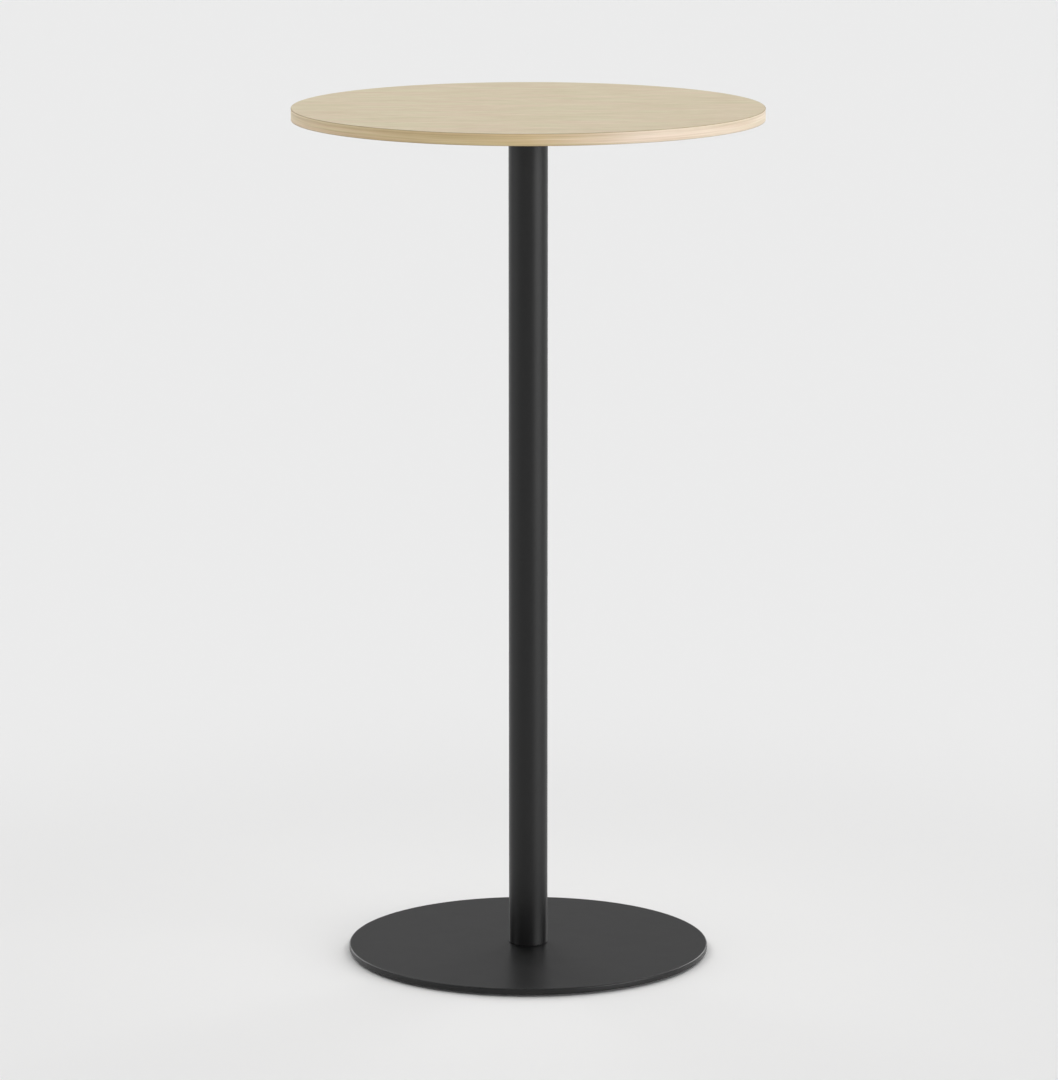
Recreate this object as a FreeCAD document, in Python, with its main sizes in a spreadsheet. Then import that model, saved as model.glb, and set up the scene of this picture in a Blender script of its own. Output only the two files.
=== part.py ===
"""Standing meeting table: round veneered top, slim round column, flat steel disc base.

The table is built about its column axis. Units are millimetres, +Z is up, and the origin is on the
floor at the column axis. Every size is a cell of the spreadsheet "sizes", and a level or a length
is written as an expression of those cells.
"""

import FreeCAD, Part
import math
import os
import re

import Sketcher

Vector = FreeCAD.Vector
UP = Vector(0, 0, 1)

doc = FreeCAD.newDocument("standing_table")
sheet = doc.addObject("Spreadsheet::Sheet", "sizes")

SIZES = {
    # whole table
    "table_height": 1100,
    "top_diameter": 600,
    # laminated top
    "veneer_thickness": 0.6,
    "core_thickness": 13.8,
    "edge_band_thickness": 2,
    "veneer_arris": 0.4,
    # mounting plate, and the screws, washers and inserts that hold the top on it
    "plate_diameter": 250,
    "plate_thickness": 5,
    "plate_chamfer": 1,
    "top_screw_inset": 20,
    "top_screw_count": 4,
    "top_screw_diameter": 6,
    "top_screw_engagement": 9,
    "top_screw_hole_clearance": 0.5,
    "button_head_diameter": 10.5,
    "button_head_height": 3.3,
    "button_socket_width": 4,
    "washer_diameter": 12,
    "washer_thickness": 1.6,
    "insert_diameter": 9,
    "insert_length": 12,
    "insert_clearance": 0.1,
    "insert_bore_clearance": 0.05,
    # column
    "tube_diameter": 50,
    "tube_wall": 2,
    "plug_length": 22,
    "plug_clearance": 0.1,
    "plug_chamfer": 1,
    "gasket_thickness": 1,
    "gasket_width": 5.5,
    "gasket_inset": 0.5,
    # countersunk screws that hold the column to the base plate and to the mounting plate
    "column_screw_circle": 28,
    "column_screw_count": 3,
    "column_screw_diameter": 8,
    "column_screw_engagement": 12,
    "column_screw_hole_clearance": 0.3,
    "column_screw_head_diameter": 15.5,
    "column_screw_seat_gap": 0.15,
    "column_screw_socket_width": 5,
    "thread_clearance": 0.05,
    "tapped_hole_spare": 3,
    "screw_socket_depth": 2,
    # base plate
    "base_diameter": 465,
    "base_thickness": 8,
    "base_edge_radius": 1.8,
    "base_edge_chamfer": 1,
    # levelling glides: a nylon pad snapped over the flange of a threaded stud
    "glide_count": 5,
    "glide_inset": 27.5,
    "pad_diameter": 25,
    "pad_height": 3,
    "pad_chamfer": 0.5,
    "pad_floor_thickness": 0.8,
    "pad_key_hole_diameter": 4.4,
    "stud_diameter": 6,
    "stud_reach": 6.5,
    "stud_flange_diameter": 12,
    "stud_flange_thickness": 1.1,
    "stud_socket_width": 3,
    "stud_socket_depth": 2.5,
    "stud_hole_spare": 0.5,
    "running_clearance": 0.1,
}
for row, (alias, value) in enumerate(SIZES.items(), start=1):
    sheet.set(f"A{row}", alias)
    sheet.set(f"B{row}", str(value))
    sheet.setAlias(f"B{row}", alias)
doc.recompute()


def bound(text):
    """The expression with each size name pointed at its cell."""
    return re.sub(r"[a-z_]+", lambda word: f"sizes.{word[0]}" if word[0] in SIZES else word[0], text)


def value_of(text):
    """The present value of an expression of sizes, worked out in a spare cell."""
    sheet.set("D1", "=" + text)
    sheet.recompute()
    return float(sheet.get("D1"))


# Levels, upwards from the floor and downwards from the table's upper face.
PAD_TOP = "pad_height"
BASE_TOP = "pad_height + base_thickness"
TUBE_FOOT = "pad_height + base_thickness + gasket_thickness"
CORE_TOP = "table_height - veneer_thickness"
CORE_FOOT = "table_height - veneer_thickness - core_thickness"
TOP_UNDERSIDE = "table_height - 2 * veneer_thickness - core_thickness"
PLATE_FOOT = f"{TOP_UNDERSIDE} - plate_thickness"
TUBE_LENGTH = f"{PLATE_FOOT} - ({TUBE_FOOT})"

# Lengths that several pieces share.
TUBE_BORE = "tube_diameter - 2 * tube_wall"
PLUG_DIAMETER = f"{TUBE_BORE} - 2 * plug_clearance"
CORE_DIAMETER = "top_diameter - 2 * edge_band_thickness"
TOP_SCREW_CIRCLE = "plate_diameter - 2 * top_screw_inset"
GLIDE_CIRCLE = "base_diameter - 2 * glide_inset"
INSERT_HOLE = "insert_diameter + 2 * insert_clearance"
TAPPED_HOLE = "column_screw_diameter + 2 * thread_clearance"
TAPPED_DEPTH = "column_screw_engagement + tapped_hole_spare"
SCREW_HOLE = "column_screw_diameter / 2 + column_screw_hole_clearance"
SEAT_RADIUS = "column_screw_head_diameter / 2 + column_screw_seat_gap"
SEAT_DEPTH = f"{SEAT_RADIUS} - ({SCREW_HOLE})"


# ---- bodies made from sketches ----


def new_body(label, height):
    """A body that stands at a level on the column axis."""
    body = doc.addObject("PartDesign::Body", label)
    body.Label = label
    body.setExpression("Placement.Base.z", bound(height))
    return body


def origin_of(body, role):
    return next(item for item in body.Origin.OriginFeatures if item.Role == role)


def new_sketch(body, name, plane="XY_Plane"):
    sketch = body.newObject("Sketcher::SketchObject", f"{body.Label}_{name}")
    sketch.AttachmentSupport = [(origin_of(body, plane), "")]
    sketch.MapMode = "FlatFace"
    return sketch


def add_datum(sketch, kind, elements, text):
    """A dimension of the sketch, tied to an expression of sizes."""
    number = sketch.addConstraint(Sketcher.Constraint(kind, *elements, value_of(text)))
    sketch.setExpression(f"Constraints[{number}]", bound(text))


def add_circle(sketch, diameter, centre_x=None):
    """A circle about the sketch's origin, or on its X axis at a distance from it."""
    x = value_of(centre_x) if centre_x else 0
    circle = sketch.addGeometry(Part.Circle(Vector(x, 0, 0), UP, value_of(diameter) / 2))
    if centre_x:
        sketch.addConstraint(Sketcher.Constraint("PointOnObject", circle, 3, -1))
        add_datum(sketch, "DistanceX", (-1, 1, circle, 3), centre_x)
    else:
        sketch.addConstraint(Sketcher.Constraint("Coincident", circle, 3, -1, 1))
    add_datum(sketch, "Diameter", (circle,), diameter)


def add_outline(sketch, corners):
    """A closed outline of straight lines through (x, y) expressions; None is on that axis."""
    points = [Vector(*(value_of(c) if c else 0 for c in corner), 0) for corner in corners]
    count = len(points)
    for i in range(count):
        sketch.addGeometry(Part.LineSegment(points[i], points[(i + 1) % count]))
    for i in range(count):
        sketch.addConstraint(Sketcher.Constraint("Coincident", i, 2, (i + 1) % count, 1))
    for i, (x, y) in enumerate(corners):
        for text, kind, axis in ((x, "DistanceX", -2), (y, "DistanceY", -1)):
            if text:
                add_datum(sketch, kind, (-1, 1, i, 1), text)
            else:
                sketch.addConstraint(Sketcher.Constraint("PointOnObject", i, 1, axis))


def extrude(body, sketch, length):
    pad = body.newObject("PartDesign::Pad", f"{body.Label}_pad")
    pad.Profile = sketch
    pad.setExpression("Length", bound(length))
    doc.recompute()


def add_disc(label, height, diameters, thickness):
    """A body that is a disc, or a ring where two diameters are given."""
    body = new_body(label, height)
    sketch = new_sketch(body, "outline")
    for diameter in diameters:
        add_circle(sketch, diameter)
    extrude(body, sketch, thickness)
    return body


def turn(body, corners):
    """A solid turned about the body's axis from an outline of (radius, height) corners."""
    sketch = new_sketch(body, "profile", "XZ_Plane")
    add_outline(sketch, corners)
    turned = body.newObject("PartDesign::Revolution", f"{body.Label}_turned")
    turned.Profile = sketch
    turned.ReferenceAxis = (sketch, ["V_Axis"])
    turned.Angle = 360
    doc.recompute()


def ring_of(body, feature, count):
    """Repeats a feature evenly round the body's axis."""
    pattern = body.newObject("PartDesign::PolarPattern", f"{feature.Name}_ring")
    pattern.Originals = [feature]
    pattern.Axis = (origin_of(body, "Z_Axis"), [""])
    pattern.Angle = 360
    pattern.setExpression("Occurrences", bound(count))
    body.Tip = pattern
    doc.recompute()


def drill_ring(body, name, diameter, depth, circle, count):
    """Equal round holes on a circle, drilled upwards from the body's lower face."""
    sketch = new_sketch(body, name)
    add_circle(sketch, diameter, f"({circle}) / 2")
    pocket = body.newObject("PartDesign::Pocket", f"{body.Label}_{name}_hole")
    pocket.Profile = sketch
    pocket.Reversed = True
    pocket.setExpression("Length", bound(depth))
    doc.recompute()
    ring_of(body, pocket, count)


def countersink_ring(body, thickness, mouth_down):
    """The countersunk holes of the column screws, with their mouths on one face of a plate."""
    centre = "column_screw_circle / 2"
    wall = f"{centre} + {SCREW_HOLE}"
    mouth = f"{centre} + {SEAT_RADIUS}"
    if mouth_down:
        flank = [(mouth, None), (wall, SEAT_DEPTH), (wall, thickness)]
    else:
        flank = [(wall, None), (wall, f"{thickness} - ({SEAT_DEPTH})"), (mouth, thickness)]
    sketch = new_sketch(body, "countersink", "XZ_Plane")
    add_outline(sketch, [(centre, None), *flank, (centre, thickness)])
    groove = body.newObject("PartDesign::Groove", f"{body.Label}_countersink_cut")
    groove.Profile = sketch
    groove.ReferenceAxis = (sketch, [f"Edge{sketch.GeometryCount}"])
    groove.Angle = 360
    doc.recompute()
    ring_of(body, groove, "column_screw_count")


def soften(body, kind, radius, height, amount):
    """A fillet or chamfer on the body's round edge of a radius at a height, None being its foot."""
    base = body.Tip
    wanted = Vector(0, value_of(height) if height else 0, value_of(radius))
    names = []
    for number, edge in enumerate(base.Shape.Edges, start=1):
        if not isinstance(edge.Curve, Part.Circle):
            continue
        if Vector(0, edge.Curve.Center.z, edge.Curve.Radius).isEqual(wanted, 1e-6):
            names.append(f"Edge{number}")
    feature = body.newObject(f"PartDesign::{kind}", f"{body.Label}_{kind.lower()}")
    feature.Base = (base, names)
    feature.setExpression("Radius" if kind == "Fillet" else "Size", bound(amount))
    doc.recompute()


# ---- identical loose pieces, several to a node ----


def circle_places(circle, count):
    """Centres spaced evenly on a circle, the first on +X."""
    radius = value_of(circle) / 2
    steps = round(value_of(count))
    turns = [2 * math.pi * step / steps for step in range(steps)]
    return [Vector(radius * math.cos(angle), radius * math.sin(angle), 0) for angle in turns]


def turned_shape(outline):
    """A solid turned about Z from (radius, height) corners."""
    points = [Vector(radius, 0, height) for radius, height in outline]
    return Part.Face(Part.makePolygon(points + points[:1])).revolve(Vector(), UP, 360)


def hexagon_bar(width, depth, height):
    """A hexagonal bar, measured across its flats, that rises from a height."""
    corner = value_of(width) / math.sqrt(3)
    turns = [math.pi * step / 3 for step in range(7)]
    points = [Vector(corner * math.cos(angle), corner * math.sin(angle), height) for angle in turns]
    return Part.Face(Part.makePolygon(points)).extrude(UP * depth)


def add_group(label, piece, places, height):
    """One node that holds a separate copy of the piece at each place."""
    group = doc.addObject("Part::Feature", label)
    group.Label = label
    group.Shape = Part.makeCompound([piece.translated(place) for place in places])
    group.setExpression("Placement.Base.z", bound(height))


def countersunk_screw(plate_thickness):
    """A countersunk socket screw, head down, with its flat head on height 0."""
    head = value_of("column_screw_head_diameter / 2")
    shank = value_of("column_screw_diameter / 2")
    length = value_of(f"{plate_thickness} + column_screw_engagement")
    outline = [(0, 0), (head, 0), (shank, head - shank), (shank, length), (0, length)]
    socket = hexagon_bar("column_screw_socket_width", value_of("screw_socket_depth"), 0)
    return turned_shape(outline).cut(socket)


def button_screw():
    """A button-head socket screw, head down, with the underside of its head on height 0."""
    head = value_of("button_head_diameter / 2")
    rise = value_of("button_head_height")
    shank = value_of("top_screw_diameter / 2")
    length = value_of("washer_thickness + plate_thickness + top_screw_engagement")
    crown = (head * head + rise * rise) / (2 * rise)
    dome = Part.makeSphere(crown, Vector(0, 0, crown - rise))
    dome = dome.common(Part.makeCylinder(head, rise, Vector(0, 0, -rise)))
    screw = dome.fuse(Part.makeCylinder(shank, length))
    depth = value_of("screw_socket_depth")
    return screw.cut(hexagon_bar("button_socket_width", depth, -rise)).removeSplitter()


# ---- the laminated top ----


def build_face_veneer():
    """The visible sheet of veneer, its edge eased."""
    body = add_disc("face_veneer", CORE_TOP, ["top_diameter"], "veneer_thickness")
    soften(body, "Chamfer", "top_diameter / 2", "veneer_thickness", "veneer_arris")


def build_core_board():
    """The board, with blind holes for the threaded inserts."""
    body = add_disc("core_board", CORE_FOOT, [CORE_DIAMETER], "core_thickness")
    depth = "insert_length - veneer_thickness + insert_clearance"
    drill_ring(body, "insert", INSERT_HOLE, depth, TOP_SCREW_CIRCLE, "top_screw_count")


def build_edge_band():
    """The solid lipping round the board."""
    add_disc("edge_band", CORE_FOOT, ["top_diameter", CORE_DIAMETER], "core_thickness")


def build_backing_veneer():
    """The balancing sheet under the board, which the inserts pass through."""
    body = add_disc("backing_veneer", TOP_UNDERSIDE, ["top_diameter"], "veneer_thickness")
    soften(body, "Chamfer", "top_diameter / 2", None, "veneer_arris")
    depth = "veneer_thickness"
    drill_ring(body, "insert", INSERT_HOLE, depth, TOP_SCREW_CIRCLE, "top_screw_count")


def build_threaded_inserts():
    """Steel inserts that the top screws turn into, flush with the top's underside."""
    outer = value_of("insert_diameter / 2")
    bore = value_of("top_screw_diameter / 2 + insert_bore_clearance")
    length = value_of("insert_length")
    insert = Part.makeCylinder(outer, length).cut(Part.makeCylinder(bore, length))
    places = circle_places(TOP_SCREW_CIRCLE, "top_screw_count")
    add_group("threaded_inserts", insert, places, TOP_UNDERSIDE)


# ---- the mounting plate and its fixings ----


def build_mounting_plate():
    """The round steel plate between column and top."""
    body = add_disc("mounting_plate", PLATE_FOOT, ["plate_diameter"], "plate_thickness")
    soften(body, "Chamfer", "plate_diameter / 2", None, "plate_chamfer")
    hole = "top_screw_diameter + 2 * top_screw_hole_clearance"
    drill_ring(body, "top_screw", hole, "plate_thickness", TOP_SCREW_CIRCLE, "top_screw_count")
    countersink_ring(body, "plate_thickness", mouth_down=False)


def build_top_fixings():
    """The screws and washers that hold the plate to the inserts."""
    places = circle_places(TOP_SCREW_CIRCLE, "top_screw_count")
    hole = value_of("top_screw_diameter / 2 + insert_clearance")
    thickness = value_of("washer_thickness")
    washer = Part.makeCylinder(value_of("washer_diameter / 2"), thickness)
    washer = washer.cut(Part.makeCylinder(hole, thickness))
    washer_foot = f"{PLATE_FOOT} - washer_thickness"
    add_group("mounting_washers", washer, places, washer_foot)
    add_group("mounting_screws", button_screw(), places, washer_foot)


def build_column_head_screws():
    """The screws down through the mounting plate into the column's upper plug."""
    screw = countersunk_screw("plate_thickness")
    screw.rotate(Vector(), Vector(1, 0, 0), 180)
    places = circle_places("column_screw_circle", "column_screw_count")
    add_group("column_head_screws", screw, places, TOP_UNDERSIDE)


# ---- the column ----


def build_column_tube():
    add_disc("column_tube", TUBE_FOOT, ["tube_diameter", TUBE_BORE], TUBE_LENGTH)


def build_plug(label, height, mouths_down):
    """A turned steel plug inside one end of the tube, tapped for the column screws."""
    body = add_disc(label, height, [PLUG_DIAMETER], "plug_length")
    inner_end = "plug_length" if mouths_down else None
    soften(body, "Chamfer", f"({PLUG_DIAMETER}) / 2", inner_end, "plug_chamfer")
    sketch = new_sketch(body, "tapped")
    if not mouths_down:
        sketch.setExpression("AttachmentOffset.Base.z", bound(f"plug_length - ({TAPPED_DEPTH})"))
    add_circle(sketch, TAPPED_HOLE, "column_screw_circle / 2")
    pocket = body.newObject("PartDesign::Pocket", f"{label}_tapped_hole")
    pocket.Profile = sketch
    pocket.Reversed = True
    pocket.setExpression("Length", bound(TAPPED_DEPTH))
    doc.recompute()
    ring_of(body, pocket, "column_screw_count")


def build_foot_gasket():
    """The thin black ring between the tube's foot and the base plate."""
    outer = "tube_diameter - 2 * gasket_inset"
    inner = f"{outer} - 2 * gasket_width"
    add_disc("foot_gasket", BASE_TOP, [outer, inner], "gasket_thickness")


# ---- the base ----


def build_base_plate():
    """The steel disc, with countersinks under the column and blind tapped holes for the glides."""
    body = add_disc("base_plate", PAD_TOP, ["base_diameter"], "base_thickness")
    soften(body, "Fillet", "base_diameter / 2", "base_thickness", "base_edge_radius")
    soften(body, "Chamfer", "base_diameter / 2", None, "base_edge_chamfer")
    countersink_ring(body, "base_thickness", mouth_down=True)
    hole = "stud_diameter + 2 * running_clearance"
    depth = "stud_reach + stud_hole_spare"
    drill_ring(body, "glide", hole, depth, GLIDE_CIRCLE, "glide_count")


def build_column_foot_screws():
    """The screws up through the base plate into the column's lower plug."""
    screw = countersunk_screw("base_thickness + gasket_thickness")
    places = circle_places("column_screw_circle", "column_screw_count")
    add_group("column_foot_screws", screw, places, PAD_TOP)


def stand_on_glide_circle(body, step):
    """Moves a body out to its place on the glide circle, the first on +X."""
    angle = f"360 * {step} / glide_count"
    body.setExpression("Placement.Base.x", bound(f"({GLIDE_CIRCLE}) / 2 * cos({angle})"))
    body.setExpression("Placement.Base.y", bound(f"({GLIDE_CIRCLE}) / 2 * sin({angle})"))


def build_glide(number):
    """One levelling glide: the nylon pad, and the stud that turns in it."""
    rim = "pad_diameter / 2"
    key_hole = "pad_key_hole_diameter / 2"
    throat = "stud_diameter / 2 + running_clearance"
    socket = "stud_flange_diameter / 2 + running_clearance"
    ledge = "pad_floor_thickness + stud_flange_thickness + 2 * running_clearance"
    pad = new_body(f"glide_pad_{number}", "0")
    turn(
        pad,
        [
            (key_hole, None),
            (f"{rim} - pad_chamfer", None),
            (rim, "pad_chamfer"),
            (rim, "pad_height"),
            (throat, "pad_height"),
            (throat, ledge),
            (socket, ledge),
            (socket, "pad_floor_thickness"),
            (key_hole, "pad_floor_thickness"),
        ],
    )
    stand_on_glide_circle(pad, number - 1)

    flange = "stud_flange_diameter / 2"
    shank = "stud_diameter / 2"
    tip = "pad_height + stud_reach"
    foot = "pad_floor_thickness + running_clearance"
    shoulder = f"{foot} + stud_flange_thickness"
    stud = new_body(f"glide_stud_{number}", foot)
    length = f"{tip} - ({foot})"
    turn(
        stud,
        [
            (None, None),
            (flange, None),
            (flange, "stud_flange_thickness"),
            (shank, "stud_flange_thickness"),
            (shank, f"{length} - running_clearance"),
            (f"{shank} - running_clearance", length),
            (None, length),
        ],
    )
    sketch = new_sketch(stud, "key_socket")
    corner = value_of("stud_socket_width") / math.sqrt(3)
    points = [
        Vector(corner * math.cos(math.pi * step / 3), corner * math.sin(math.pi * step / 3), 0)
        for step in range(6)
    ]
    for step in range(6):
        sketch.addGeometry(Part.LineSegment(points[step], points[(step + 1) % 6]))
    for step in range(6):
        sketch.addConstraint(Sketcher.Constraint("Coincident", step, 2, (step + 1) % 6, 1))
    guide = sketch.addGeometry(Part.Circle(Vector(), UP, corner), True)
    sketch.addConstraint(Sketcher.Constraint("Coincident", guide, 3, -1, 1))
    for step in range(6):
        sketch.addConstraint(Sketcher.Constraint("PointOnObject", step, 1, guide))
    for step in range(5):
        sketch.addConstraint(Sketcher.Constraint("Equal", step, step + 1))
    sketch.addConstraint(Sketcher.Constraint("PointOnObject", 0, 1, -1))
    add_datum(sketch, "Diameter", (guide,), "2 * stud_socket_width / sqrt(3)")
    pocket = stud.newObject("PartDesign::Pocket", f"glide_stud_{number}_key_socket")
    pocket.Profile = sketch
    pocket.Reversed = True
    pocket.setExpression("Length", bound("stud_socket_depth"))
    doc.recompute()
    stand_on_glide_circle(stud, number - 1)


build_face_veneer()
build_core_board()
build_edge_band()
build_backing_veneer()
build_threaded_inserts()
build_mounting_plate()
build_top_fixings()
build_column_head_screws()
build_column_tube()
build_plug("upper_plug", f"{PLATE_FOOT} - plug_length", mouths_down=False)
build_plug("lower_plug", TUBE_FOOT, mouths_down=True)
build_foot_gasket()
build_base_plate()
build_column_foot_screws()
for number in range(1, round(value_of("glide_count")) + 1):
    build_glide(number)
doc.recompute()

# ---- checks and export ----

pieces = [item for item in doc.Objects if item.TypeId == "PartDesign::Body"]
pieces += [item for item in doc.Objects if item.TypeId == "Part::Feature"]
for item in doc.Objects:
    if "Invalid" in item.State or "Error" in item.State:
        raise RuntimeError(f"{item.Label} failed to build")
for piece in pieces:
    if piece.Shape.isNull() or not piece.Shape.isValid():
        raise RuntimeError(f"{piece.Label} has no valid shape")

os.makedirs("parts", exist_ok=True)
for piece in pieces:
    piece.Shape.exportStep(f"parts/{piece.Label}.step")
    box = piece.Shape.BoundBox
    print(f"{piece.Label}: {len(piece.Shape.Solids)} solids, {piece.Shape.Volume:.1f} mm3,"
          f" z {box.ZMin:.2f} to {box.ZMax:.2f}")
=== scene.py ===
"""A round standing table: oak-veneered top, slim black column, flat steel base on levelling glides."""

import math

import bmesh
import bpy
from mathutils import Matrix, Vector


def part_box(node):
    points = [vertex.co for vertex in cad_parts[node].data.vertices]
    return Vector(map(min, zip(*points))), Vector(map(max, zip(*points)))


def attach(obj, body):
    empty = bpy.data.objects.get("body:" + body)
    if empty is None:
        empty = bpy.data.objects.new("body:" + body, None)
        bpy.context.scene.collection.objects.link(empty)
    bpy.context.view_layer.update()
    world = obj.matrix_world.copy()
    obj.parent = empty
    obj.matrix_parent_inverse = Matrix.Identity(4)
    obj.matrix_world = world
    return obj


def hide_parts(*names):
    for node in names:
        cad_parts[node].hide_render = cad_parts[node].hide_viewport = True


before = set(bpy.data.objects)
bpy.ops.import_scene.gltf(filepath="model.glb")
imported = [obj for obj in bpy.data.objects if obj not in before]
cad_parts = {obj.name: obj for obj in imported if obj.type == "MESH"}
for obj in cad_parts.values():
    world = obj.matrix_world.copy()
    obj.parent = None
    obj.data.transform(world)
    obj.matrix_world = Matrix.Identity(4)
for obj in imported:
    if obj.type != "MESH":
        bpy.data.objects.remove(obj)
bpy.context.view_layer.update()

# ---- Base plate ----
# An 8 mm steel disc, cut and turned round, with both arrises rolled over. Its underside is
# countersunk for the column's screws and drilled for the glides. Powder-coated satin black.

base_low, base_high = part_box("base_plate")
base_radius = base_high.x
base_arris = 0.0018
rim_width = 0.004
column_screw_count = 3
screw_circle_radius = 0.014
screw_head_radius = 0.00775
screw_shank_radius = 0.004
screw_seat_gap = 0.00015
screw_hole_radius = 0.0043
glide_count = 5
glide_circle_radius = 0.205
glide_hole_radius = 0.0031
glide_hole_depth = 0.007
hole_sides = 40
screw_sides = 48
same_place = 1e-6


def on_circle(radius, count):
    """Centres spaced evenly round the column, the first on +X."""
    turns = [math.tau * step / count for step in range(count)]
    return [Vector((radius * math.cos(turn), radius * math.sin(turn), 0)) for turn in turns]


def lathe(mesh, outline, centre=Vector(), sides=64):
    """Turns an outline of (radius, height[, rounding]) corners about an upright axis."""
    rounding_steps = 6
    corners = [mesh.verts.new(centre + Vector((corner[0], 0, corner[1]))) for corner in outline]
    for low, high in zip(corners, corners[1:]):
        mesh.edges.new((low, high))
    for vert, corner in zip(corners, outline):
        if len(corner) == 3:
            bmesh.ops.bevel(
                mesh,
                geom=[vert],
                offset=corner[2],
                offset_type="OFFSET",
                segments=rounding_steps,
                profile=0.5,
                affect="VERTICES",
                material=-1,
            )
    section = [item for item in mesh.verts if not item.link_faces]
    section += [item for item in mesh.edges if not item.link_faces]
    bmesh.ops.spin(
        mesh,
        geom=section,
        cent=centre,
        axis=(0, 0, 1),
        angle=math.tau,
        steps=sides,
        use_merge=True,
    )


def fill_level(mesh, height):
    """Closes the flat face at a height, leaving open the holes that reach it."""
    rims = [
        edge
        for edge in mesh.edges
        if edge.is_boundary and all(abs(vert.co.z - height) < same_place for vert in edge.verts)
    ]
    bmesh.ops.triangle_fill(mesh, edges=rims, use_beauty=True)


def finished(name, mesh, material, node, body):
    """Makes the turned mesh a piece that stands for its solid and rides on its body."""
    crease_angle = math.radians(40)
    bmesh.ops.remove_doubles(mesh, verts=mesh.verts, dist=same_place)
    bmesh.ops.recalc_face_normals(mesh, faces=mesh.faces)
    data = bpy.data.meshes.new(name)
    mesh.to_mesh(data)
    mesh.free()
    data.shade_smooth()
    data.set_sharp_from_angle(angle=crease_angle)
    data.materials.append(material)
    piece = bpy.data.objects.new(name, data)
    bpy.context.scene.collection.objects.link(piece)
    shading = piece.modifiers.new("flat faces shade flat", "WEIGHTED_NORMAL")
    shading.keep_sharp = True
    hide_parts(node)
    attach(piece, body)


def new_material(name, roughness, metallic=0.0, specular=0.5):
    """An opaque surface, with its node tree, its shader and its place on the object."""
    material = bpy.data.materials.new(name)
    material.use_nodes = True
    tree = material.node_tree
    shader = tree.nodes["Principled BSDF"]
    shader.inputs["Roughness"].default_value = roughness
    shader.inputs["Metallic"].default_value = metallic
    shader.inputs["Specular IOR Level"].default_value = specular
    place = tree.nodes.new("ShaderNodeTexCoord").outputs["Object"]
    return material, tree, shader, place


def stretched(tree, place, scale):
    """The place on the object, scaled by a factor along each axis."""
    mapping = tree.nodes.new("ShaderNodeMapping")
    mapping.inputs["Scale"].default_value = scale
    tree.links.new(place, mapping.inputs["Vector"])
    return mapping.outputs["Vector"]


def noise(tree, place, scale, detail=2.0, roughness=0.5, distortion=0.0):
    """A noise value over the place, with scale in cycles a metre."""
    node = tree.nodes.new("ShaderNodeTexNoise")
    node.inputs["Scale"].default_value = scale
    node.inputs["Detail"].default_value = detail
    node.inputs["Roughness"].default_value = roughness
    node.inputs["Distortion"].default_value = distortion
    tree.links.new(place, node.inputs["Vector"])
    return node.outputs["Fac"]


def ramp(tree, value, stops):
    """A colour read from a value, with stops of (position, colour)."""
    node = tree.nodes.new("ShaderNodeValToRGB")
    elements = node.color_ramp.elements
    while len(elements) < len(stops):
        elements.new(0.5)
    for element, (position, colour) in zip(elements, stops):
        element.position = position
        element.color = (*colour, 1)
    tree.links.new(value, node.inputs["Fac"])
    return node.outputs["Color"]


def spread(tree, value, low, high, to_low=0.0, to_high=1.0):
    """A value's range stretched to another range and held at its ends."""
    node = tree.nodes.new("ShaderNodeMapRange")
    node.inputs["From Min"].default_value = low
    node.inputs["From Max"].default_value = high
    node.inputs["To Min"].default_value = to_low
    node.inputs["To Max"].default_value = to_high
    tree.links.new(value, node.inputs["Value"])
    return node.outputs["Result"]


def bump(tree, shader, height, depth, strength):
    """Raises the surface by a height value, to a depth in metres."""
    node = tree.nodes.new("ShaderNodeBump")
    node.inputs["Strength"].default_value = strength
    node.inputs["Distance"].default_value = depth
    tree.links.new(height, node.inputs["Height"])
    tree.links.new(node.outputs["Normal"], shader.inputs["Normal"])


def powder_coat():
    """Satin black powder: a fine orange peel over a very slightly mottled black."""
    material, tree, shader, place = new_material("satin_black_powder", roughness=0.36, specular=0.39)
    mottle = noise(tree, place, scale=260, detail=4)
    colour = ramp(tree, mottle, [(0.3, (0.0022, 0.0023, 0.0025)), (0.7, (0.0032, 0.0033, 0.0035))])
    tree.links.new(colour, shader.inputs["Base Color"])
    haze = spread(tree, noise(tree, place, scale=14, detail=3), 0.3, 0.7, 0.34, 0.38)
    tree.links.new(haze, shader.inputs["Roughness"])
    bump(tree, shader, noise(tree, place, scale=1400, detail=1), depth=0.00003, strength=0.5)
    return material


satin_black = powder_coat()
base = bmesh.new()
lathe(
    base,
    [
        (base_radius - rim_width, base_low.z),
        (base_radius, base_low.z, base_arris),
        (base_radius, base_high.z, base_arris),
        (base_radius - rim_width, base_high.z),
    ],
    sides=320,
)
seat_radius = screw_head_radius + screw_seat_gap
for centre in on_circle(screw_circle_radius, column_screw_count):
    seat_top = base_low.z + seat_radius - screw_hole_radius
    seat = [(seat_radius, base_low.z), (screw_hole_radius, seat_top), (screw_hole_radius, base_high.z)]
    lathe(base, seat, centre, sides=screw_sides)
for centre in on_circle(glide_circle_radius, glide_count):
    hole_top = base_low.z + glide_hole_depth
    hole = [(glide_hole_radius, base_low.z), (glide_hole_radius, hole_top), (0, hole_top)]
    lathe(base, hole, centre, sides=hole_sides)
fill_level(base, base_low.z)
fill_level(base, base_high.z)
finished("base_disc", base, satin_black, "base_plate", "table")

# ---- Column-foot screws ----
# Three M8 countersunk screws, driven up through the base plate into the column's lower plug.
# Steel, plated black, each with a hexagon socket in its flat head.

foot_screws_low, foot_screws_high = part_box("column_foot_screws")
column_screw_pitch = 0.00125
column_screw_point_depth = 0.0011
column_screw_face_radius = 0.0035
column_socket_width = 0.005
socket_depth = 0.002
head_edge = 0.0003
thread_runout = 0.0012
screw_point = 0.0006


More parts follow.
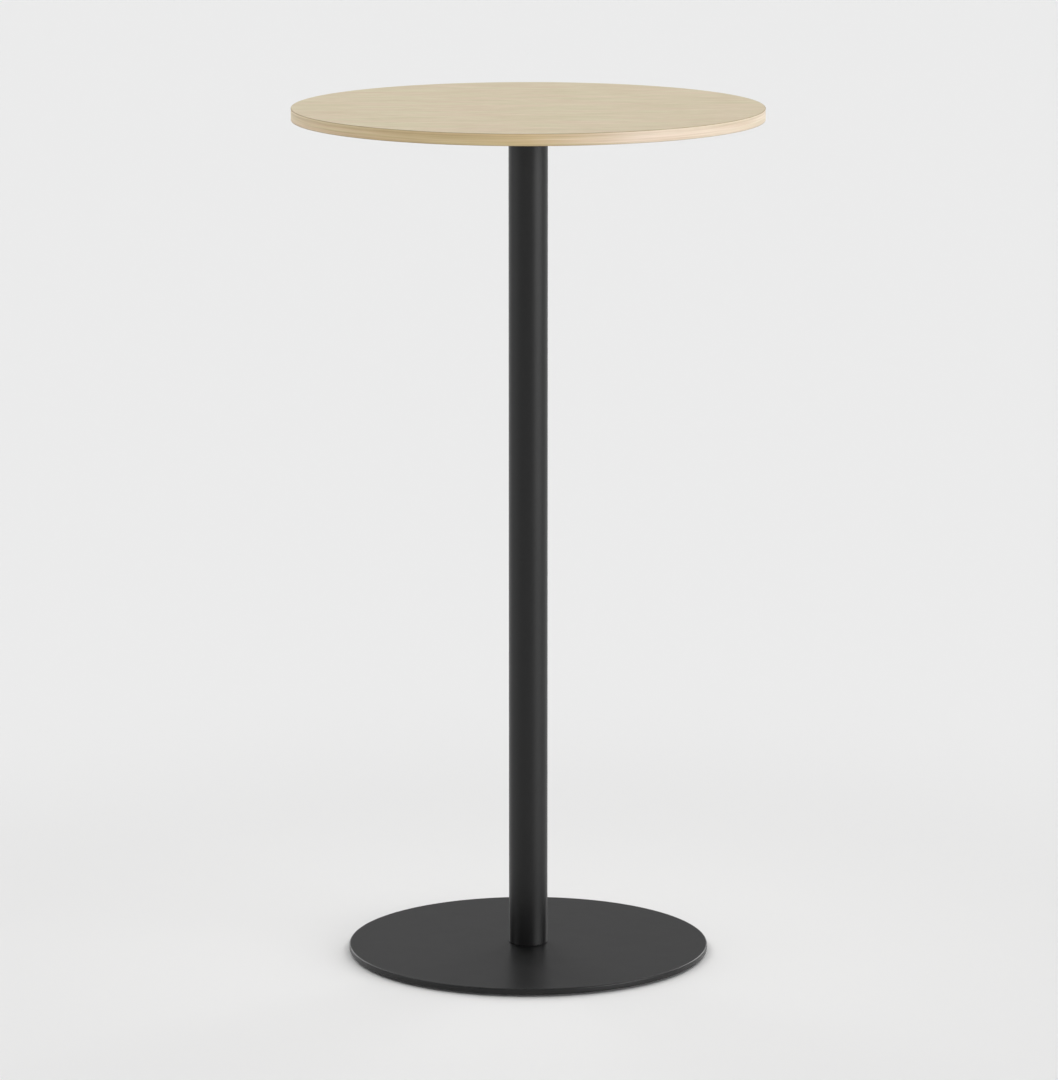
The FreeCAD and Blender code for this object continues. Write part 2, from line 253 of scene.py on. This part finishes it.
def hexagon(mesh, centre, width, mouth, floor):
    """A hexagon socket sunk from its mouth to its floor, with a drilled cone below it."""
    cone_slope = 0.35
    corner = width / math.sqrt(3)
    place = Matrix.Translation(centre + Vector((0, 0, mouth)))
    made = bmesh.ops.create_circle(mesh, segments=6, radius=corner, matrix=place)
    mouth_edges = list({edge for vert in made["verts"] for edge in vert.link_edges})
    walls = bmesh.ops.extrude_edge_only(mesh, edges=mouth_edges)["geom"]
    floor_verts = [item for item in walls if isinstance(item, bmesh.types.BMVert)]
    bmesh.ops.translate(mesh, verts=floor_verts, vec=(0, 0, floor - mouth))
    floor_edges = [item for item in walls if isinstance(item, bmesh.types.BMEdge)]
    floor_edges = [edge for edge in floor_edges if all(vert in floor_verts for vert in edge.verts)]
    floor_face = bmesh.ops.contextual_create(mesh, geom=floor_edges)["faces"]
    middle = bmesh.ops.poke(mesh, faces=floor_face)["verts"]
    bmesh.ops.translate(mesh, verts=middle, vec=(0, 0, math.copysign(corner * cone_slope, floor - mouth)))


def thread(start, end, shank, pitch):
    """The outline of a cut thread up a shank, as rings a pitch apart, from start to end."""
    depth_share = 0.6
    depth = depth_share * pitch
    count = int(abs(end - start) / pitch)
    step = math.copysign(pitch, end - start)
    rings = []
    for turn in range(count):
        level = start + step * turn
        rings += [(shank, level), (shank - depth, level + step * 0.5)]
    return rings + [(shank - depth, end)]


def countersunk_screw(mesh, centre, face, tip):
    """A countersunk screw from its head's flat face to its tip, which may lie above or below."""
    way = math.copysign(1, tip - face)
    neck = face + way * (screw_head_radius - screw_shank_radius)
    thread_start = neck + way * thread_runout
    thread_end = tip - way * screw_point
    outline = [
        (column_screw_face_radius, face),
        (screw_head_radius - head_edge, face),
        (screw_head_radius, face + way * head_edge),
        (screw_shank_radius, neck + way * head_edge),
        *thread(thread_start, thread_end, screw_shank_radius, column_screw_pitch),
        (screw_shank_radius - column_screw_point_depth, tip),
        (0, tip),
    ]
    lathe(mesh, outline, centre, sides=screw_sides)
    hexagon(mesh, centre, column_socket_width, face, face + way * socket_depth)
    fill_level(mesh, face)


def black_plate():
    """Black zinc on steel: dark and slightly glossy, a little worn to grey."""
    material, tree, shader, place = new_material("black_zinc", roughness=0.36, metallic=0.7)
    wear = noise(tree, place, scale=900, detail=4, roughness=0.6)
    colour = ramp(tree, wear, [(0.35, (0.018, 0.018, 0.02)), (0.75, (0.045, 0.045, 0.05))])
    tree.links.new(colour, shader.inputs["Base Color"])
    bump(tree, shader, noise(tree, place, scale=3000), depth=0.00001, strength=0.4)
    return material


black_zinc = black_plate()
foot_screws = bmesh.new()
for centre in on_circle(screw_circle_radius, column_screw_count):
    countersunk_screw(foot_screws, centre, foot_screws_low.z, foot_screws_high.z)
finished("column_foot_bolts", foot_screws, black_zinc, "column_foot_screws", "table")

# ---- Foot gasket ----
# A thin black rubber ring under the column's end, set in a little from its wall. It keeps the
# powder coat from chipping and reads as a fine dark line round the column's foot.

gasket_low, gasket_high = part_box("foot_gasket")
gasket_radius = gasket_high.x
gasket_bore = 0.019
gasket_arris = 0.0002


def black_rubber():
    """Matt black rubber with a fine moulded grain."""
    material, tree, shader, place = new_material("black_rubber", roughness=0.75, specular=0.3)
    grain = noise(tree, place, scale=1800, detail=3)
    colour = ramp(tree, grain, [(0.3, (0.004, 0.004, 0.004)), (0.7, (0.009, 0.009, 0.009))])
    tree.links.new(colour, shader.inputs["Base Color"])
    bump(tree, shader, grain, depth=0.00002, strength=0.6)
    return material


gasket = bmesh.new()
lathe(
    gasket,
    [
        (gasket_bore, gasket_low.z),
        (gasket_radius, gasket_low.z, gasket_arris),
        (gasket_radius, gasket_high.z, gasket_arris),
        (gasket_bore, gasket_high.z),
        (gasket_bore, gasket_low.z),
    ],
    sides=160,
)
finished("foot_gasket_ring", gasket, black_rubber(), "foot_gasket", "table")

# ---- Column plugs ----
# Turned steel plugs welded inside the tube's ends, tapped for the countersunk screws. They are
# closed in, and show only the lathe's fine rings.


def turned_steel():
    """Bare steel with the fine rings of a lathe tool."""
    material, tree, shader, place = new_material("turned_steel", roughness=0.4, metallic=1.0)
    rings = noise(tree, stretched(tree, place, (1, 1, 40)), scale=120, detail=3)
    colour = ramp(tree, rings, [(0.3, (0.36, 0.36, 0.37)), (0.7, (0.52, 0.52, 0.53))])
    tree.links.new(colour, shader.inputs["Base Color"])
    bump(tree, shader, rings, depth=0.00002, strength=0.5)
    return material


bare_steel = turned_steel()
for node in ("lower_plug", "upper_plug"):
    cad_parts[node].data.materials.clear()
    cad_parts[node].data.materials.append(bare_steel)

# ---- Column ----
# A round steel tube, 50 mm across with a 2 mm wall, cut square, deburred and powder-coated with the
# base. It stands on the gasket and carries the mounting plate.

tube_low, tube_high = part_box("column_tube")
tube_radius = tube_high.x
tube_wall = 0.002
tube_deburr = 0.0003

column = bmesh.new()
lathe(
    column,
    [
        (tube_radius - tube_wall, tube_low.z),
        (tube_radius, tube_low.z, tube_deburr),
        (tube_radius, tube_high.z, tube_deburr),
        (tube_radius - tube_wall, tube_high.z),
        (tube_radius - tube_wall, tube_low.z),
    ],
    sides=192,
)
finished("column", column, satin_black, "column_tube", "table")

# ---- Mounting plate ----
# A 5 mm steel disc on the column's head, chamfered below, countersunk on top for the column's
# screws and drilled for the four screws that hold the top. Powder-coated with the column.

plate_low, plate_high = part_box("mounting_plate")
plate_radius = plate_high.x
plate_chamfer = 0.001
chamfer_arris = 0.0003
plate_arris = 0.0004
top_screw_circle_radius = 0.105
top_screw_count = 4
top_screw_hole_radius = 0.0035

plate = bmesh.new()
lathe(
    plate,
    [
        (plate_radius - rim_width, plate_low.z),
        (plate_radius - plate_chamfer, plate_low.z, chamfer_arris),
        (plate_radius, plate_low.z + plate_chamfer, chamfer_arris),
        (plate_radius, plate_high.z, plate_arris),
        (plate_radius - rim_width, plate_high.z),
    ],
    sides=256,
)
for centre in on_circle(screw_circle_radius, column_screw_count):
    seat_foot = plate_high.z - seat_radius + screw_hole_radius
    seat = [(screw_hole_radius, plate_low.z), (screw_hole_radius, seat_foot), (seat_radius, plate_high.z)]
    lathe(plate, seat, centre, sides=screw_sides)
for centre in on_circle(top_screw_circle_radius, top_screw_count):
    hole = [(top_screw_hole_radius, plate_low.z), (top_screw_hole_radius, plate_high.z)]
    lathe(plate, hole, centre, sides=screw_sides)
fill_level(plate, plate_low.z)
fill_level(plate, plate_high.z)
finished("mounting_disc", plate, satin_black, "mounting_plate", "table")

# ---- Column-head screws ----
# Three more of the same screws, driven down through the mounting plate into the upper plug. Their
# heads lie flush under the top.

head_screws_low, head_screws_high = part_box("column_head_screws")
head_screws = bmesh.new()
for centre in on_circle(screw_circle_radius, column_screw_count):
    countersunk_screw(head_screws, centre, head_screws_high.z, head_screws_low.z)
finished("column_head_bolts", head_screws, black_zinc, "column_head_screws", "table")

# ---- Top: core board ----
# A disc of fibreboard, 13.8 mm thick, pressed between its veneers and lipped round its edge.
# It is drilled from below for the threaded inserts.


def fibreboard():
    """Raw fibreboard: warm brown, finely felted."""
    material, tree, shader, place = new_material("fibreboard", roughness=0.85, specular=0.2)
    felt = noise(tree, place, scale=900, detail=5, roughness=0.65)
    colour = ramp(tree, felt, [(0.3, (0.30, 0.21, 0.12)), (0.7, (0.40, 0.29, 0.18))])
    tree.links.new(colour, shader.inputs["Base Color"])
    bump(tree, shader, felt, depth=0.00005, strength=0.5)
    return material


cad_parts["core_board"].data.materials.clear()
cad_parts["core_board"].data.materials.append(fibreboard())

# ---- Top: threaded inserts ----
# Four steel inserts with an M6 bore, turned into the board from below and left flush.


def zinc_plate():
    """Bright zinc: pale blue-grey, with the faint crystals of the bath."""
    material, tree, shader, place = new_material("zinc_plate", roughness=0.3, metallic=1.0)
    crystals = noise(tree, place, scale=700, detail=3)
    colour = ramp(tree, crystals, [(0.3, (0.48, 0.50, 0.53)), (0.7, (0.64, 0.66, 0.68))])
    tree.links.new(colour, shader.inputs["Base Color"])
    haze = spread(tree, crystals, 0.3, 0.7, 0.25, 0.38)
    tree.links.new(haze, shader.inputs["Roughness"])
    return material


zinc = zinc_plate()
insert_low, insert_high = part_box("threaded_inserts")
insert_radius = 0.0045
insert_bore = 0.00305
insert_arris = 0.0002
insert_thread_start = 0.001
insert_thread_end = 0.0008
insert_pitch = 0.0015
insert_thread_depth = 0.0009

inserts = bmesh.new()
for centre in on_circle(top_screw_circle_radius, top_screw_count):
    wall = [
        (insert_bore, insert_low.z),
        (insert_radius, insert_low.z, insert_arris),
        *thread(
            insert_low.z + insert_thread_start,
            insert_high.z - insert_thread_end,
            insert_radius,
            insert_pitch,
        ),
        (insert_radius - insert_thread_depth, insert_high.z),
        (insert_bore, insert_high.z),
        (insert_bore, insert_low.z),
    ]
    lathe(inserts, wall, centre, sides=hole_sides)
finished("board_inserts", inserts, zinc, "threaded_inserts", "table")

# ---- Top: veneers ----
# A 0.6 mm sheet of straight-grained pale oak on each face of the board, pressed, trimmed flush with
# the lipping, its arris eased by hand and finished with a matt lacquer. The grain runs along X.

veneer_low, veneer_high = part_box("face_veneer")
backing_low, backing_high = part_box("backing_veneer")
top_radius = veneer_high.x
top_sides = 384
veneer_ease = 0.0004
glue_line = 0.0006
insert_hole_radius = 0.0046


def mixed(tree, first, second, share, kind="MIX"):
    """A colour and a second one, plain or patterned, mixed by a number or by another value."""
    node = tree.nodes.new("ShaderNodeMix")
    node.data_type = "RGBA"
    node.blend_type = kind
    if isinstance(share, float):
        node.inputs["Factor"].default_value = share
    else:
        tree.links.new(share, node.inputs["Factor"])
    tree.links.new(first, node.inputs["A"])
    if isinstance(second, tuple):
        node.inputs["B"].default_value = (*second, 1)
    else:
        tree.links.new(second, node.inputs["B"])
    return node.outputs["Result"]


def oak(name, pale, dark, fibre, roughness, specular, along, shade):
    """Finished oak. along gives the place with its first axis running with the grain, and shade gives
    a colour by which the wood darkens or pales from place to place."""
    ring_share = 0.55
    pore_low, pore_high = 0.66, 0.76
    pore_share = 0.35
    pore_colour = tuple(0.72 * part for part in fibre)
    material, tree, shader, place = new_material(name, roughness=roughness, specular=specular)
    board = along(tree, place)
    waves = noise(tree, stretched(tree, board, (5, 20, 20)), scale=3.2, detail=3, distortion=0.6)
    rings = noise(tree, stretched(tree, board, (7, 75, 75)), scale=2.2, detail=4, roughness=0.6)
    figure = mixed(
        tree,
        ramp(tree, waves, [(0.32, pale), (0.68, dark)]),
        ramp(tree, rings, [(0.34, pale), (0.66, dark)]),
        ring_share,
    )
    tints = noise(tree, stretched(tree, board, (3, 13, 13)), scale=3.0, detail=2)
    cast = ramp(tree, tints, [(0.36, (0.965, 1.0, 0.95)), (0.64, (1.0, 0.965, 0.965))])
    figure = mixed(tree, figure, cast, 1.0, "MULTIPLY")
    flecks = noise(tree, stretched(tree, board, (45, 240, 240)), scale=1.0, detail=3, roughness=0.6)
    flecked = ramp(tree, flecks, [(0.3, (1.0, 1.0, 1.0)), (0.7, (0.90, 0.885, 0.86))])
    figure = mixed(tree, figure, flecked, 1.0, "MULTIPLY")
    fibres = noise(tree, stretched(tree, board, (14, 900, 900)), scale=1.0, detail=2)
    thin = spread(tree, fibres, 0.35, 0.75, 0.0, 0.5)
    grained = mixed(tree, figure, fibre, thin)
    pores = noise(tree, stretched(tree, board, (38, 1500, 1500)), scale=1.0, detail=1)
    open_pore = spread(tree, pores, pore_low, pore_high, 0.0, pore_share)
    wood = mixed(tree, grained, pore_colour, open_pore)
    shaded = mixed(tree, wood, shade(tree, place), 1.0, "MULTIPLY")
    tree.links.new(shaded, shader.inputs["Base Color"])
    level = spread(tree, open_pore, 0.0, pore_share, 1.0, 0.0)
    bump(tree, shader, level, depth=0.00004, strength=0.35)
    return material


def sheet_grain(tree, place):
    """Grain that runs along X."""
    return place


def distance_out(tree, place):
    """How far the place is from the upright axis through the column."""
    node = tree.nodes.new("ShaderNodeVectorMath")
    node.operation = "LENGTH"
    tree.links.new(stretched(tree, place, (1, 1, 0)), node.inputs[0])
    return node.outputs["Value"]


def trimmed_edge(tree, place):
    """The end-grain and glue line at a sheet's trimmed edge, browner than its face."""
    edge = spread(tree, distance_out(tree, place), top_radius - glue_line, top_radius - veneer_ease)
    return ramp(tree, edge, [(0.0, (1.0, 1.0, 1.0)), (1.0, (0.55, 0.48, 0.39))])


oak_face = oak(
    "oak_veneer",
    pale=(0.769, 0.686, 0.548),
    dark=(0.648, 0.557, 0.412),
    fibre=(0.603, 0.524, 0.379),
    roughness=0.6,
    specular=0.02,
    along=sheet_grain,
    shade=trimmed_edge,
)
face = bmesh.new()
lathe(
    face,
    [
        (0, veneer_low.z),
        (top_radius, veneer_low.z),
        (top_radius, veneer_high.z, veneer_ease),
        (0, veneer_high.z),
    ],
    sides=top_sides,
)
finished("top_veneer", face, oak_face, "face_veneer", "table")

backing = bmesh.new()
lathe(
    backing,
    [
        (top_radius - rim_width, backing_low.z),
        (top_radius, backing_low.z, veneer_ease),
        (top_radius, backing_high.z),
        (top_radius - rim_width, backing_high.z),
    ],
    sides=top_sides,
)
for centre in on_circle(top_screw_circle_radius, top_screw_count):
    hole = [(insert_hole_radius, backing_low.z), (insert_hole_radius, backing_high.z)]
    lathe(backing, hole, centre, sides=hole_sides)
fill_level(backing, backing_low.z)
fill_level(backing, backing_high.z)
finished("underside_veneer", backing, oak_face, "backing_veneer", "table")

# ---- Top: edge band ----
# A 2 mm lipping of the same oak, wrapped round the board before the faces are veneered, with one
# butt joint at the back. Its grain runs round the edge.

band_low, band_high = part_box("edge_band")
band_thickness = 0.002


def worked_out(tree, operation, first, second):
    """A value worked out from two, each of them a number or another value."""
    node = tree.nodes.new("ShaderNodeMath")
    node.operation = operation
    for socket, value in zip(node.inputs, (first, second)):
        if isinstance(value, (int, float)):
            socket.default_value = value
        else:
            tree.links.new(value, socket)
    return node.outputs["Value"]


def edge_grain(tree, place):
    """Long fine grain that runs round the edge, laid out flat along X with the band's height on Y."""
    split = tree.nodes.new("ShaderNodeSeparateXYZ")
    tree.links.new(place, split.inputs["Vector"])
    ahead = worked_out(tree, "MULTIPLY", split.outputs["Y"], -1)
    turn = worked_out(tree, "ARCTAN2", split.outputs["X"], ahead)
    length = worked_out(tree, "MULTIPLY", turn, top_radius)
    strip = tree.nodes.new("ShaderNodeCombineXYZ")
    tree.links.new(length, strip.inputs["X"])
    tree.links.new(split.outputs["Z"], strip.inputs["Y"])
    return stretched(tree, strip.outputs["Vector"], (0.4, 4, 1))


def painted_light_and_late_wood(tree, place):
    """Painted light and shade along X: the wood is browner and darker from the left end to the middle and
    white on the right, standing in for a strong light and its sheen from the right. This is multiplied by
    a thin line of late wood that comes and goes near the top.
    """
    white = (1.0, 1.0, 1.0)
    split = tree.nodes.new("ShaderNodeSeparateXYZ")
    tree.links.new(place, split.inputs["Vector"])
    across = spread(tree, split.outputs["X"], -top_radius, top_radius)
    # Painted light and shade: browner and darker towards the left and middle, plain on the right, as if
    # lit from the right.
    painted_side_light = ramp(
        tree,
        across,
        [
            (0.03, (1.0, 0.96, 0.80)),
            (0.2, (0.91, 0.84, 0.62)),
            (0.5, (0.87, 0.80, 0.585)),
            (0.72, white),
        ],
    )
    height = spread(tree, split.outputs["Z"], band_low.z, band_high.z)
    late_wood = ramp(
        tree,
        height,
        [
            (0.02, (0.82, 0.79, 0.73)),
            (0.14, white),
            (0.68, white),
            (0.80, (0.76, 0.70, 0.62)),
            (0.92, white),
        ],
    )
    patches = noise(tree, edge_grain(tree, place), scale=5, detail=2)
    line = mixed(tree, late_wood, white, spread(tree, patches, 0.45, 0.62, 0.1, 0.8))
    return mixed(tree, painted_side_light, line, 1.0, "MULTIPLY")


oak_edge = oak(
    "oak_lipping",
    pale=(0.885, 0.785, 0.680),
    dark=(0.588, 0.465, 0.330),
    fibre=(0.588, 0.465, 0.330),
    roughness=0.42,
    specular=0.45,
    along=edge_grain,
    shade=painted_light_and_late_wood,
)
band = bmesh.new()
lathe(
    band,
    [
        (top_radius - band_thickness, band_low.z),
        (top_radius, band_low.z),
        (top_radius, band_high.z),
        (top_radius - band_thickness, band_high.z),
        (top_radius - band_thickness, band_low.z),
    ],
    sides=top_sides,
)
finished("edge_lipping", band, oak_edge, "edge_band", "table")

# ---- Top screws and washers ----
# Four M6 button-head socket screws with plain washers, driven up through the mounting plate into the
# inserts. Steel, plated black.

washers_low, washers_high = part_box("mounting_washers")
top_screws_low, top_screws_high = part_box("mounting_screws")
washer_radius = 0.006
washer_bore = 0.0031
washer_arris = 0.0002
washer_rounding = 0.00025
button_radius = 0.00525
button_arris = 0.0002
button_dome = [(0.0027, 0), (0.0034, 0.0001), (0.0042, 0.0006), (0.0049, 0.0015), (button_radius, 0.0026)]
button_socket_width = 0.004
top_screw_radius = 0.003
plain_shank = 0.003
m6_pitch = 0.001
m6_point_depth = 0.0009

washers = bmesh.new()
top_screws = bmesh.new()
for centre in on_circle(top_screw_circle_radius, top_screw_count):
    ring = [
        (washer_bore, washers_low.z),
        (washer_radius, washers_low.z, washer_rounding),
        (washer_radius, washers_high.z, washer_arris),
        (washer_bore, washers_high.z),
        (washer_bore, washers_low.z),
    ]
    lathe(washers, ring, centre, sides=64)

    head_low = top_screws_low.z
    head_high = washers_low.z
    button = [
        *[(radius, head_low + rise) for radius, rise in button_dome],
        (button_radius, head_high, button_arris),
        (top_screw_radius, head_high),
        *thread(head_high + plain_shank, top_screws_high.z - screw_point, top_screw_radius, m6_pitch),
        (top_screw_radius - m6_point_depth, top_screws_high.z),
        (0, top_screws_high.z),
    ]
    lathe(top_screws, button, centre, sides=screw_sides)
    hexagon(top_screws, centre, button_socket_width, head_low, head_low + socket_depth)
    fill_level(top_screws, head_low)
finished("top_washers", washers, black_zinc, "mounting_washers", "table")
finished("top_bolts", top_screws, black_zinc, "mounting_screws", "table")

# ---- Levelling glides ----
# Five glides under the base: a moulded nylon pad snapped over the flange of a zinc-plated M6 stud.
# A hexagon key turns the stud through the hole in the pad, and the pad follows it up or down.

pad_radius = 0.0125
pad_height = 0.003
pad_floor = 0.0008
pad_rounding = 0.0005
pad_arris = 0.0002
key_hole_radius = 0.0022
stud_radius = 0.003
stud_face_radius = 0.0019
flange_radius = 0.006
flange_thickness = 0.0011
flange_arris = 0.0002
running_gap = 0.0001
stud_socket_width = 0.003
stud_socket_depth = 0.0025


def moulded_nylon():
    """Black nylon with a fine spark-eroded grain."""
    material, tree, shader, place = new_material("black_nylon", roughness=0.55, specular=0.4)
    grain = noise(tree, place, scale=2600, detail=3)
    colour = ramp(tree, grain, [(0.3, (0.010, 0.010, 0.011)), (0.7, (0.018, 0.018, 0.019))])
    tree.links.new(colour, shader.inputs["Base Color"])
    bump(tree, shader, grain, depth=0.00002, strength=0.6)
    return material


nylon = moulded_nylon()
for number, centre in enumerate(on_circle(glide_circle_radius, glide_count), start=1):
    ledge = pad_floor + flange_thickness + 2 * running_gap
    pad = bmesh.new()
    lathe(
        pad,
        [
            (key_hole_radius, 0),
            (pad_radius, 0, pad_rounding),
            (pad_radius, pad_height, pad_arris),
            (stud_radius + running_gap, pad_height),
            (stud_radius + running_gap, ledge),
            (flange_radius + running_gap, ledge),
            (flange_radius + running_gap, pad_floor),
            (key_hole_radius, pad_floor),
            (key_hole_radius, 0),
        ],
        centre,
        sides=96,
    )
    finished(
        f"glide_foot_{number}",
        pad,
        nylon,
        f"glide_pad_{number}",
        f"glide_pad_{number}",
    )

    stud_low, stud_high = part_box(f"glide_stud_{number}")
    stud = bmesh.new()
    lathe(
        stud,
        [
            (stud_face_radius, stud_low.z),
            (flange_radius, stud_low.z, flange_arris),
            (flange_radius, stud_low.z + flange_thickness, flange_arris),
            (stud_radius, stud_low.z + flange_thickness),
            *thread(pad_height, stud_high.z - screw_point, stud_radius, m6_pitch),
            (stud_radius - m6_point_depth, stud_high.z),
            (0, stud_high.z),
        ],
        centre,
        sides=screw_sides,
    )
    hexagon(stud, centre, stud_socket_width, stud_low.z, stud_low.z + stud_socket_depth)
    fill_level(stud, stud_low.z)
    finished(
        f"glide_bolt_{number}",
        stud,
        zinc,
        f"glide_stud_{number}",
        f"glide_stud_{number}",
    )

# ---- Studio ----
# A pale paper floor that runs out to a low paper wall. Above the wall the room is dark, but for a ring
# of light overhead, a strong soft light low on the right, a weak one low on the left and two behind.

page_grey = 0.835
room_grey = 0.25
floor_radius = 60

floor = bpy.data.objects.new("studio_floor", bpy.data.meshes.new("studio_floor"))
floor_mesh = bmesh.new()
bmesh.ops.create_circle(floor_mesh, cap_ends=True, segments=96, radius=floor_radius)
floor_mesh.to_mesh(floor.data)
floor_mesh.free()
bpy.context.scene.collection.objects.link(floor)

paper, tree, shader, place = new_material("studio_paper", roughness=1.0, specular=0.0)
shader.inputs["Base Color"].default_value = (page_grey, page_grey, page_grey, 1)

# Seen from below, the paper is clear. Under the base it also lets light up, along each line too steep
# to be looked along from above, past the base's edge. The base's underside and the glides stand too
# close to the paper to be lit in another way.
sight_edge = base_radius - 0.0014
sight_gap = base_low.z + 0.0001

under_base = worked_out(tree, "SUBTRACT", sight_edge, distance_out(tree, place))
slant = tree.nodes.new("ShaderNodeLayerWeight").outputs["Facing"]
steepness = worked_out(tree, "SUBTRACT", 1, slant)
out_of_sight = worked_out(tree, "MULTIPLY", under_base, steepness)
let_through = worked_out(tree, "GREATER_THAN", out_of_sight, sight_gap)
from_below = tree.nodes.new("ShaderNodeNewGeometry").outputs["Backfacing"]
clear_share = worked_out(tree, "MAXIMUM", let_through, from_below)
clear = tree.nodes.new("ShaderNodeBsdfTransparent")
seen_from = tree.nodes.new("ShaderNodeMixShader")
tree.links.new(clear_share, seen_from.inputs["Fac"])
tree.links.new(shader.outputs["BSDF"], seen_from.inputs[1])
tree.links.new(clear.outputs["BSDF"], seen_from.inputs[2])
tree.links.new(seen_from.outputs["Shader"], tree.nodes["Material Output"].inputs["Surface"])
floor.data.materials.append(paper)

world = bpy.data.worlds.new("studio_room")
world.use_nodes = True
bpy.context.scene.world = world
room = world.node_tree
direction = room.nodes.new("ShaderNodeTexCoord").outputs["Generated"]


def facing(aim, start, full, strength=1.0):
    """A value that grows as the direction nears another, from start to full (cosines)."""
    turned = room.nodes.new("ShaderNodeVectorMath")
    turned.operation = "DOT_PRODUCT"
    turned.inputs[1].default_value = aim
    room.links.new(direction, turned.inputs[0])
    node = room.nodes.new("ShaderNodeMapRange")
    node.interpolation_type = "SMOOTHSTEP"
    node.inputs["From Min"].default_value = min(start, full)
    node.inputs["From Max"].default_value = max(start, full)
    node.inputs["To Min"].default_value = 0 if start < full else strength
    node.inputs["To Max"].default_value = strength if start < full else 0
    room.links.new(turned.outputs["Value"], node.inputs["Value"])
    return node.outputs["Result"]


def towards(azimuth, elevation):
    """The direction at an azimuth from the camera's side, positive to the right, and an elevation."""
    turn = math.radians(azimuth)
    rise = math.radians(elevation)
    return (math.sin(turn) * math.cos(rise), -math.cos(turn) * math.cos(rise), math.sin(rise))


up = (0, 0, 1)
right_light = facing(towards(61, 0), start=0.883, full=0.961, strength=10.2)
left_light = facing(towards(-78, 0), start=0.927, full=0.978, strength=2.3)
side_lights = worked_out(room, "ADD", right_light, left_light)
side_lights = worked_out(room, "MULTIPLY", side_lights, facing(up, start=0.48, full=0.02))
right_back_light = facing(towards(145, 22), start=0.940, full=0.985, strength=4.0)
left_back_light = facing(towards(-150, 22), start=0.940, full=0.985, strength=2.9)
back_lights = worked_out(room, "ADD", right_back_light, left_back_light)
low_lights = worked_out(room, "ADD", side_lights, back_lights)
low_lights = worked_out(room, "MULTIPLY", low_lights, facing(up, start=0.0, full=0.001))
wall = facing(up, start=0.12, full=0.06, strength=page_grey - room_grey)
overhead = facing(up, start=0.55, full=0.74, strength=1.39)
overhead = worked_out(room, "MULTIPLY", overhead, facing(up, start=0.92, full=0.82))
lights = worked_out(room, "ADD", worked_out(room, "ADD", wall, overhead), low_lights)
total = worked_out(room, "ADD", lights, room_grey)
room.links.new(total, room.nodes["Background"].inputs["Strength"])
room.nodes["Background"].inputs["Color"].default_value = (1, 1, 1, 1)

# ---- Camera ----
# A long lens a little above the top, looking down at the whole table.

look_down = math.radians(10.77)

lens = bpy.data.cameras.new("camera")
lens.sensor_width = 36
lens.lens = 182.3
lens.clip_end = 200
camera = bpy.data.objects.new("camera", lens)
camera.location = (0.001, -6.894, 1.854)
camera.rotation_euler = (math.radians(90) - look_down, 0, 0)
bpy.context.scene.collection.objects.link(camera)
bpy.context.scene.camera = camera

view = bpy.context.scene.view_settings
view.view_transform = "Standard"
